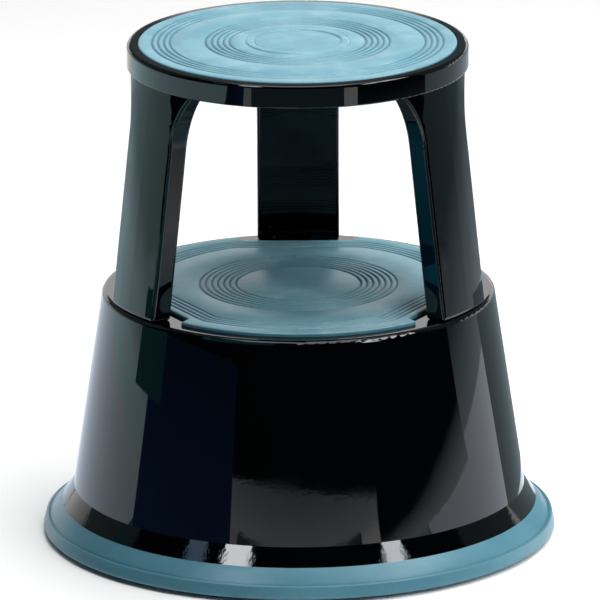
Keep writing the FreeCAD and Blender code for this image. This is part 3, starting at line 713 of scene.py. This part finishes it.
def make_window(name, middle, width, height, strength):
    """Small bright window that faces the stool."""
    azimuth = math.atan2(middle[0], -middle[1])
    lean = math.atan2(middle[2], math.hypot(middle[0], middle[1]))
    across = (math.cos(azimuth) * width / 2, math.sin(azimuth) * width / 2, 0.0)
    up = (-math.sin(azimuth) * math.sin(lean) * height / 2,
          math.cos(azimuth) * math.sin(lean) * height / 2,
          math.cos(lean) * height / 2)

    def corner(side, end):
        return tuple(centre + side * along + end * rise
                     for centre, along, rise in zip(middle, across, up))

    lower, upper = [[corner(side, end) for side in (-1, 1)] for end in (-1, 1)]
    make_flag(name, lower, upper, plain(strength))


def make_room():
    """Dark room that is dim behind, and a pale sheet with a curved edge along its foot in front."""
    azimuths = arc(*SHEET_AZIMUTHS)
    edge = [SHEET_TOP - SHEET_SAG * ((azimuth - SHEET_TOP_AZIMUTH) / SHEET_HALF_ANGLE) ** 2
            for azimuth in azimuths]
    foot = [towards(azimuth, ROOM_REACH, 0.0) for azimuth in azimuths]
    middle = [towards(azimuth, ROOM_REACH, level) for azimuth, level in zip(azimuths, edge)]
    top = [towards(azimuth, ROOM_REACH, CEILING) for azimuth in azimuths]
    make_flag("flag_sheet", foot, middle,
              rising((0.85, 0.90, 0.95), (0.42, 0.46, 0.50), start=0.0, end=0.075))
    make_flag("flag_front", middle, top, plain(DARK))
    make_wall("flag_right_front", azimuths=(39, 92), reach=ROOM_REACH, levels=(0.0, CEILING),
              glow=plain(DARK))
    make_wall("flag_left_front", azimuths=(-93, -36), reach=ROOM_REACH, levels=(0.0, CEILING),
              glow=plain(DARK))
    make_wall("flag_right_back", azimuths=(92, 148), reach=ROOM_REACH, levels=(0.75, CEILING),
              glow=plain(DIM))
    make_wall("flag_left_back", azimuths=(-148, -93), reach=ROOM_REACH, levels=(0.75, CEILING),
              glow=plain(DIM))
    make_wall("flag_back", azimuths=(148, 212), reach=ROOM_REACH, levels=(1.18, CEILING),
              glow=plain(DIM))


def make_grounds():
    """Sheets over the floor, which the ring, the drum and the legs' sides mirror."""
    make_ground("flag_right_floor", azimuths=(39, 92), reaches=(1.0, ROOM_REACH),
                glow=spreading((0.85, 0.88, 0.92), DARK, start=1.0, end=1.7))
    make_ground("flag_right_back_floor", azimuths=(92, 170), reaches=(1.25, 4.5),
                glow=spreading((0.64, 0.75, 0.84), (0.14, 0.21, 0.24), start=1.30, end=2.40))
    make_ground("flag_front_floor", azimuths=(-30, 30), reaches=(1.1, ROOM_REACH),
                glow=spreading((0.55, 0.58, 0.62), (0.10, 0.15, 0.18), start=1.25, end=1.45))
    make_ground("flag_left_near_floor", azimuths=(-80, -22), reaches=(0.24, 1.2),
                glow=spreading((0.015, 0.20, 0.30), (0.03, 0.40, 0.62), start=0.30, end=0.90))
    make_ground("flag_right_near_floor", azimuths=(15, 62), reaches=(0.24, 1.0),
                glow=spreading((0.24, 0.44, 0.52), (0.72, 0.86, 0.92), start=0.70, end=1.0))
    make_wall("flag_near_left", azimuths=(-38, -10), reach=0.24, levels=(0.214, 0.325),
              glow=rising((0.01, 0.20, 0.30), (0.03, 0.40, 0.60), start=0.19, end=0.32))
    make_ground("flag_left_side_floor", azimuths=(-172, -80), reaches=(0.24, 1.2),
                glow=plain((0.93, 1.06, 1.22)))
    make_ground("flag_right_side_floor", azimuths=(62, 92), reaches=(0.24, 1.0),
                glow=plain((1.40, 1.50, 1.68)))
    make_ground("flag_right_rear_floor", azimuths=(92, 172), reaches=(0.24, 1.25),
                glow=plain((1.40, 1.50, 1.68)))
    make_ground("flag_left_floor", azimuths=(-145, -34), reaches=(1.2, 4.5),
                glow=spreading((0.80, 1.15, 1.24), (0.42, 0.62, 0.64), start=1.70, end=2.20))


def make_panels():
    """Coloured panels beside the drum, a bright ceiling and four windows."""
    near, far, top = (-0.5, -0.115), (-1.06, -1.618), 0.185
    make_flag("flag_navy", [(*near, 0.0), (*far, 0.0)], [(*near, top), (*far, top)],
              rising((0.024, 0.078, 0.200), (0.010, 0.038, 0.095), start=0.0, end=0.18))
    make_wall("flag_left_panel", azimuths=(-85, -67), reach=0.45, levels=(0.128, 0.20),
              glow=plain((0.03, 0.15, 0.17)))
    make_wall("flag_near_right", azimuths=(96, 170), reach=0.30, levels=(0.0, 0.195),
              glow=plain((0.25, 0.33, 0.36)))
    side, front, back, level = 1.1, -1.3, 0.4, 2.9
    make_flag("flag_ceiling", [(-side, front, level), (side, front, level)],
              [(-side, back, level), (side, back, level)], plain((2.6, 2.7, 2.8)))
    make_window("window_ring", middle=(1.62, -0.36, 2.12), width=0.80, height=0.80,
                strength=(9.0, 9.0, 8.7))
    make_window("window_left", middle=(-1.106, -1.537, 1.99), width=0.50, height=0.55,
                strength=(13.0, 13.4, 14.0))
    make_window("window_right", middle=(1.600, -1.180, 1.89), width=0.38, height=0.45,
                strength=(11.0, 11.4, 12.0))
    make_window("window_far_left", middle=(-1.720, -1.060, 1.85), width=0.35, height=0.40,
                strength=(0.7, 1.15, 1.7))


def make_studio():
    """Plain colour handling, the surround, three soft lights and the flags."""
    scene = bpy.context.scene
    scene.view_settings.view_transform = "Standard"
    scene.view_settings.look = "None"
    make_surround()
    make_softbox("key", location=(0.3, 0.3, 2.7), size=2.2, power=66)
    make_softbox("front_key", location=(1.2, -1.7, 2.3), size=1.4, power=34)
    make_softbox("fill", location=(2.2, -1.4, 1.3), size=1.2, power=20)
    make_room()
    make_grounds()
    make_panels()


def main():
    make_camera()
    make_floor()
    make_studio()
    materials = {slot: maker() for slot, maker in MATERIAL_MAKERS.items()}
    paint_nodes(materials)
    make_top_tread()
    make_step_tread()
    make_bumper_ring(materials["teal_rubber"])
    for name in CASTORS:
        make_spring(name, materials["spring_steel"])


main()
